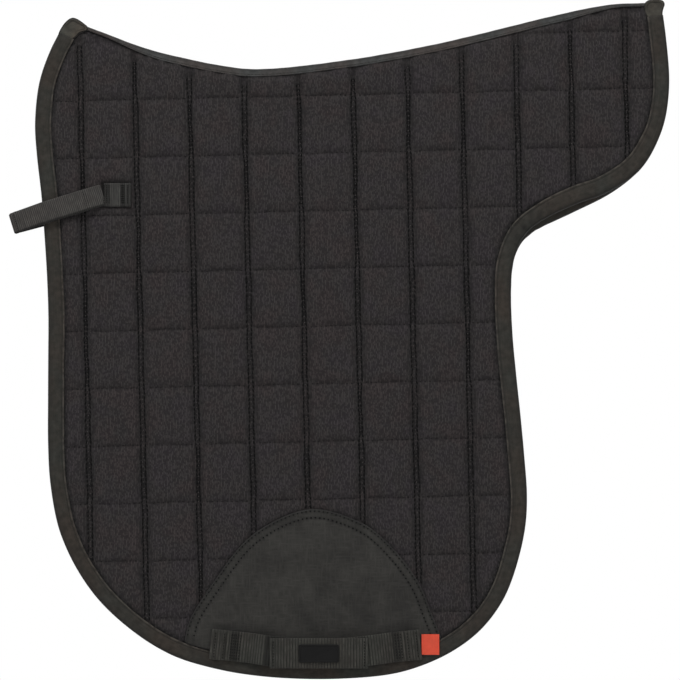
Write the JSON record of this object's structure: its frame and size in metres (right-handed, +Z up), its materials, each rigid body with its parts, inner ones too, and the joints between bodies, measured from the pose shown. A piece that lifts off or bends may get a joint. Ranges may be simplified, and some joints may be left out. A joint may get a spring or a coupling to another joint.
{
  "type": "icelandic saddle pad",
  "caption": "Quilted saddle pad with two shaped halves hinged along a taped spine, bound edges, webbing billet tongues and a webbing girth loop on each side.",
  "frame": {"origin": "lowest point of the spine's top, where the saddle seats and where a rack's bar holds the folded pad", "axes": "+X to the rear, +Z up, -Y out of the near half, which faces the viewer"},
  "size_m": [0.5938, 0.0467, 0.6107],
  "materials": {
    "quilt": "matt quilted knit",
    "foam": "matt open foam",
    "tape": "matt woven tape",
    "patch": "smooth matt canvas",
    "webbing": "ribbed webbing",
    "grip": "hook and loop pile",
    "badge": "satin",
    "label": "woven ribbon"
  },
  "bodies": {
    "spine": {"spine_strip": "tape", "spine_seam_tape": "tape", "front_tip_roll": "tape", "rear_tip_roll": "tape"},
    "near_half": {"near_quilted_cover": "quilt", "near_foam_core": "foam", "near_lining": "quilt", "near_edge_binding": "tape", "near_girth_patch": "patch", "near_girth_strap_front": "webbing", "near_girth_strap_rear": "webbing", "near_strap_loop_tape": "grip", "near_side_label": "label", "near_billet_anchor": "webbing"},
    "off_half": {"off_quilted_cover": "quilt", "off_foam_core": "foam", "off_lining": "quilt", "off_edge_binding": "tape", "off_girth_patch": "patch", "off_girth_strap_front": "webbing", "off_girth_strap_rear": "webbing", "off_strap_loop_tape": "grip", "off_billet_anchor": "webbing"},
    "near_billet": {"near_billet_tongue": "webbing", "near_tongue_hook_tape": "grip", "near_tongue_loop_tape": "grip"},
    "off_billet": {"off_billet_tongue": "webbing", "off_tongue_hook_tape": "grip", "off_tongue_loop_tape": "grip"},
    "near_closure": {"near_girth_closure": "webbing", "near_closure_hook_tape": "grip", "near_plain_badge": "badge"},
    "off_closure": {"off_girth_closure": "webbing", "off_closure_hook_tape": "grip"}
  },
  "joints": [
    {"name": "near_fold", "type": "hinge", "parent": "spine", "child": "near_half", "pos_m": [-0.1616, 0, 0.0454], "axis": [-0.9995, 0, -0.0314], "range_deg": [0, 30], "deforming": ["spine_strip", "front_tip_roll", "rear_tip_roll"]},
    {"name": "off_fold", "type": "hinge", "parent": "spine", "child": "off_half", "pos_m": [-0.1616, 0, 0.0454], "axis": [0.9995, 0, 0.0314], "range_deg": [0, 30], "deforming": ["spine_strip", "front_tip_roll", "rear_tip_roll"]},
    {"name": "near_billet_lift", "type": "hinge", "parent": "near_half", "child": "near_billet", "pos_m": [-0.134, -0.0121, -0.1135], "axis": [-0.2924, 0, 0.9563], "range_deg": [0, 150]},
    {"name": "off_billet_lift", "type": "hinge", "parent": "off_half", "child": "off_billet", "pos_m": [-0.134, 0.0121, -0.1135], "axis": [0.2924, 0, -0.9563], "range_deg": [0, 150]},
    {"name": "near_girth_open", "type": "hinge", "parent": "near_half", "child": "near_closure", "pos_m": [0.0154, -0.0227, -0.524], "axis": [0, 0, -1], "range_deg": [0, 150]},
    {"name": "off_girth_open", "type": "hinge", "parent": "off_half", "child": "off_closure", "pos_m": [0.0154, 0.0227, -0.524], "axis": [0, 0, 1], "range_deg": [0, 150]}
  ]
}
